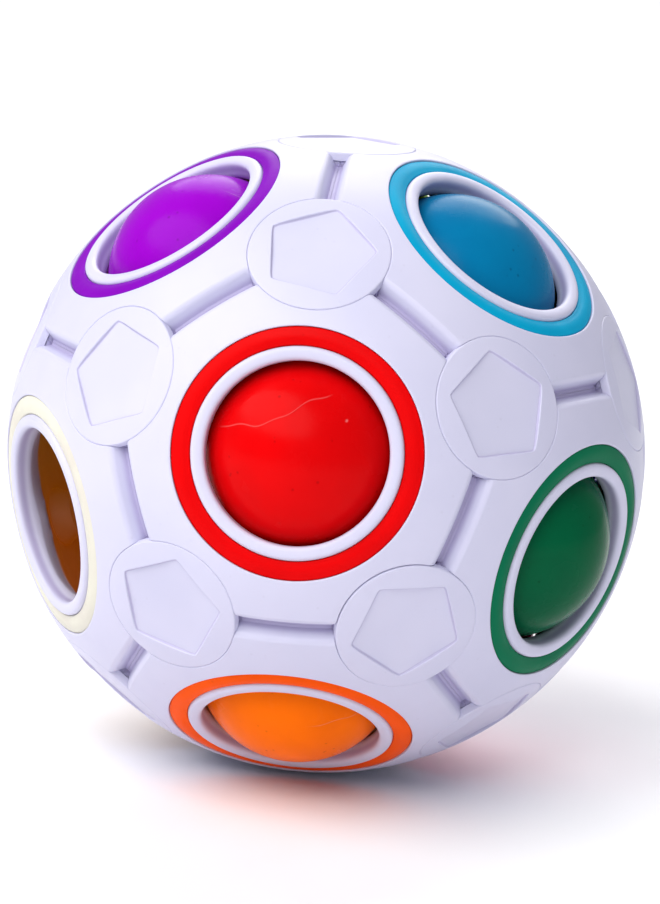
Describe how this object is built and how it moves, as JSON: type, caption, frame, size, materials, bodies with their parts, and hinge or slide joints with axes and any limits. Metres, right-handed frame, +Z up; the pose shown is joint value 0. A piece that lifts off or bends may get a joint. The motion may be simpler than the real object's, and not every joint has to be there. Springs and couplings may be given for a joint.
{
  "type": "marble sliding ball puzzle",
  "caption": "Hollow ball puzzle of pentagonal panels with round holes, coloured rings and coloured marbles that press in and roll to the empty hole.",
  "frame": {"origin": "centre of the ball", "axes": "+Z up through the corner cap opposite the one it stands on; -Y is the front, where the red hole faces; +X to the right"},
  "size_m": [0.07, 0.0708, 0.0692],
  "materials": {
    "shell_white": "satin moulded ABS, slightly lavender white",
    "core_rubber": "matt natural rubber",
    "ring_red": "satin moulded ABS",
    "marble_red": "smooth moulded ABS ball, soft gloss",
    "ring_orange": "satin moulded ABS",
    "marble_orange": "smooth moulded ABS ball, soft gloss",
    "ring_white": "satin moulded ABS",
    "ring_green": "satin moulded ABS",
    "marble_green": "smooth moulded ABS ball, soft gloss",
    "ring_purple": "satin moulded ABS",
    "marble_purple": "smooth moulded ABS ball, soft gloss",
    "ring_cyan": "satin moulded ABS",
    "marble_cyan": "smooth moulded ABS ball, soft gloss",
    "ring_yellow": "satin moulded ABS",
    "marble_yellow": "smooth moulded ABS ball, soft gloss",
    "ring_blue": "satin moulded ABS",
    "marble_blue": "smooth moulded ABS ball, soft gloss",
    "ring_brown": "satin moulded ABS",
    "marble_brown": "smooth moulded ABS ball, soft gloss",
    "ring_pink": "satin moulded ABS",
    "marble_pink": "smooth moulded ABS ball, soft gloss",
    "ring_lime": "satin moulded ABS",
    "marble_lime": "smooth moulded ABS ball, soft gloss",
    "ring_rose": "satin moulded ABS",
    "marble_rose": "smooth moulded ABS ball, soft gloss"
  },
  "bodies": {
    "shell": {"panel_red": "shell_white", "panel_orange": "shell_white", "panel_white": "shell_white", "panel_green": "shell_white", "panel_purple": "shell_white", "panel_cyan": "shell_white", "panel_yellow": "shell_white", "panel_blue": "shell_white", "panel_brown": "shell_white", "panel_pink": "shell_white", "panel_lime": "shell_white", "panel_rose": "shell_white", "ring_red": "ring_red", "ring_orange": "ring_orange", "ring_white": "ring_white", "ring_green": "ring_green", "ring_purple": "ring_purple", "ring_cyan": "ring_cyan", "ring_yellow": "ring_yellow", "ring_blue": "ring_blue", "ring_brown": "ring_brown", "ring_pink": "ring_pink", "ring_lime": "ring_lime", "ring_rose": "ring_rose", "corner_cap_01": "shell_white", "corner_cap_02": "shell_white", "corner_cap_03": "shell_white", "corner_cap_04": "shell_white", "corner_cap_05": "shell_white", "corner_cap_06": "shell_white", "corner_cap_07": "shell_white", "corner_cap_08": "shell_white", "corner_cap_09": "shell_white", "corner_cap_10": "shell_white", "corner_cap_11": "shell_white", "corner_cap_12": "shell_white", "corner_cap_13": "shell_white", "corner_cap_14": "shell_white", "corner_cap_15": "shell_white", "corner_cap_16": "shell_white", "corner_cap_17": "shell_white", "corner_cap_18": "shell_white", "corner_cap_19": "shell_white", "corner_cap_20": "shell_white", "soft_core": "core_rubber"},
    "marble_red": {"marble_red": "marble_red"},
    "marble_orange": {"marble_orange": "marble_orange"},
    "marble_green": {"marble_green": "marble_green"},
    "marble_purple": {"marble_purple": "marble_purple"},
    "marble_cyan": {"marble_cyan": "marble_cyan"},
    "marble_yellow": {"marble_yellow": "marble_yellow"},
    "marble_blue": {"marble_blue": "marble_blue"},
    "marble_brown": {"marble_brown": "marble_brown"},
    "marble_pink": {"marble_pink": "marble_pink"},
    "marble_lime": {"marble_lime": "marble_lime"},
    "marble_rose": {"marble_rose": "marble_rose"}
  },
  "joints": [
    {"name": "red_roll", "type": "hinge", "parent": "shell", "child": "marble_red", "pos_m": [-0.03595, -0.06227, 0], "axis": [-0.309, 0.1784, 0.9342], "range_deg": [0, 28.78], "deforming": ["soft_core"]},
    {"name": "orange_press", "type": "slide", "parent": "shell", "child": "marble_orange", "axis": [0, -0.6071, -0.7947], "range_m": [-0.0035, 0], "stiffness_N_per_m": 800, "springref_m": 0.0005, "deforming": ["soft_core"]},
    {"name": "green_press", "type": "slide", "parent": "shell", "child": "marble_green", "axis": [0.8507, -0.4911, -0.1876], "range_m": [-0.0035, 0], "stiffness_N_per_m": 800, "springref_m": 0.0005, "deforming": ["soft_core"]},
    {"name": "purple_press", "type": "slide", "parent": "shell", "child": "marble_purple", "axis": [-0.5257, -0.3035, 0.7947], "range_m": [-0.0035, 0], "stiffness_N_per_m": 800, "springref_m": 0.0005, "deforming": ["soft_core"]},
    {"name": "cyan_press", "type": "slide", "parent": "shell", "child": "marble_cyan", "axis": [0.5257, -0.3035, 0.7947], "range_m": [-0.0035, 0], "stiffness_N_per_m": 800, "springref_m": 0.0005, "deforming": ["soft_core"]},
    {"name": "yellow_press", "type": "slide", "parent": "shell", "child": "marble_yellow", "axis": [-0.8507, 0.4911, 0.1876], "range_m": [-0.0035, 0], "stiffness_N_per_m": 800, "springref_m": 0.0005, "deforming": ["soft_core"]},
    {"name": "blue_press", "type": "slide", "parent": "shell", "child": "marble_blue", "axis": [0.8507, 0.4911, 0.1876], "range_m": [-0.0035, 0], "stiffness_N_per_m": 800, "springref_m": 0.0005, "deforming": ["soft_core"]},
    {"name": "brown_press", "type": "slide", "parent": "shell", "child": "marble_brown", "axis": [-0.5257, 0.3035, -0.7947], "range_m": [-0.0035, 0], "stiffness_N_per_m": 800, "springref_m": 0.0005, "deforming": ["soft_core"]},
    {"name": "pink_press", "type": "slide", "parent": "shell", "child": "marble_pink", "axis": [0.5257, 0.3035, -0.7947], "range_m": [-0.0035, 0], "stiffness_N_per_m": 800, "springref_m": 0.0005, "deforming": ["soft_core"]},
    {"name": "lime_press", "type": "slide", "parent": "shell", "child": "marble_lime", "axis": [0, 0.6071, 0.7947], "range_m": [-0.0035, 0], "stiffness_N_per_m": 800, "springref_m": 0.0005, "deforming": ["soft_core"]},
    {"name": "rose_press", "type": "slide", "parent": "shell", "child": "marble_rose", "axis": [0, 0.9822, -0.1876], "range_m": [-0.0035, 0], "stiffness_N_per_m": 800, "springref_m": 0.0005, "deforming": ["soft_core"]}
  ]
}
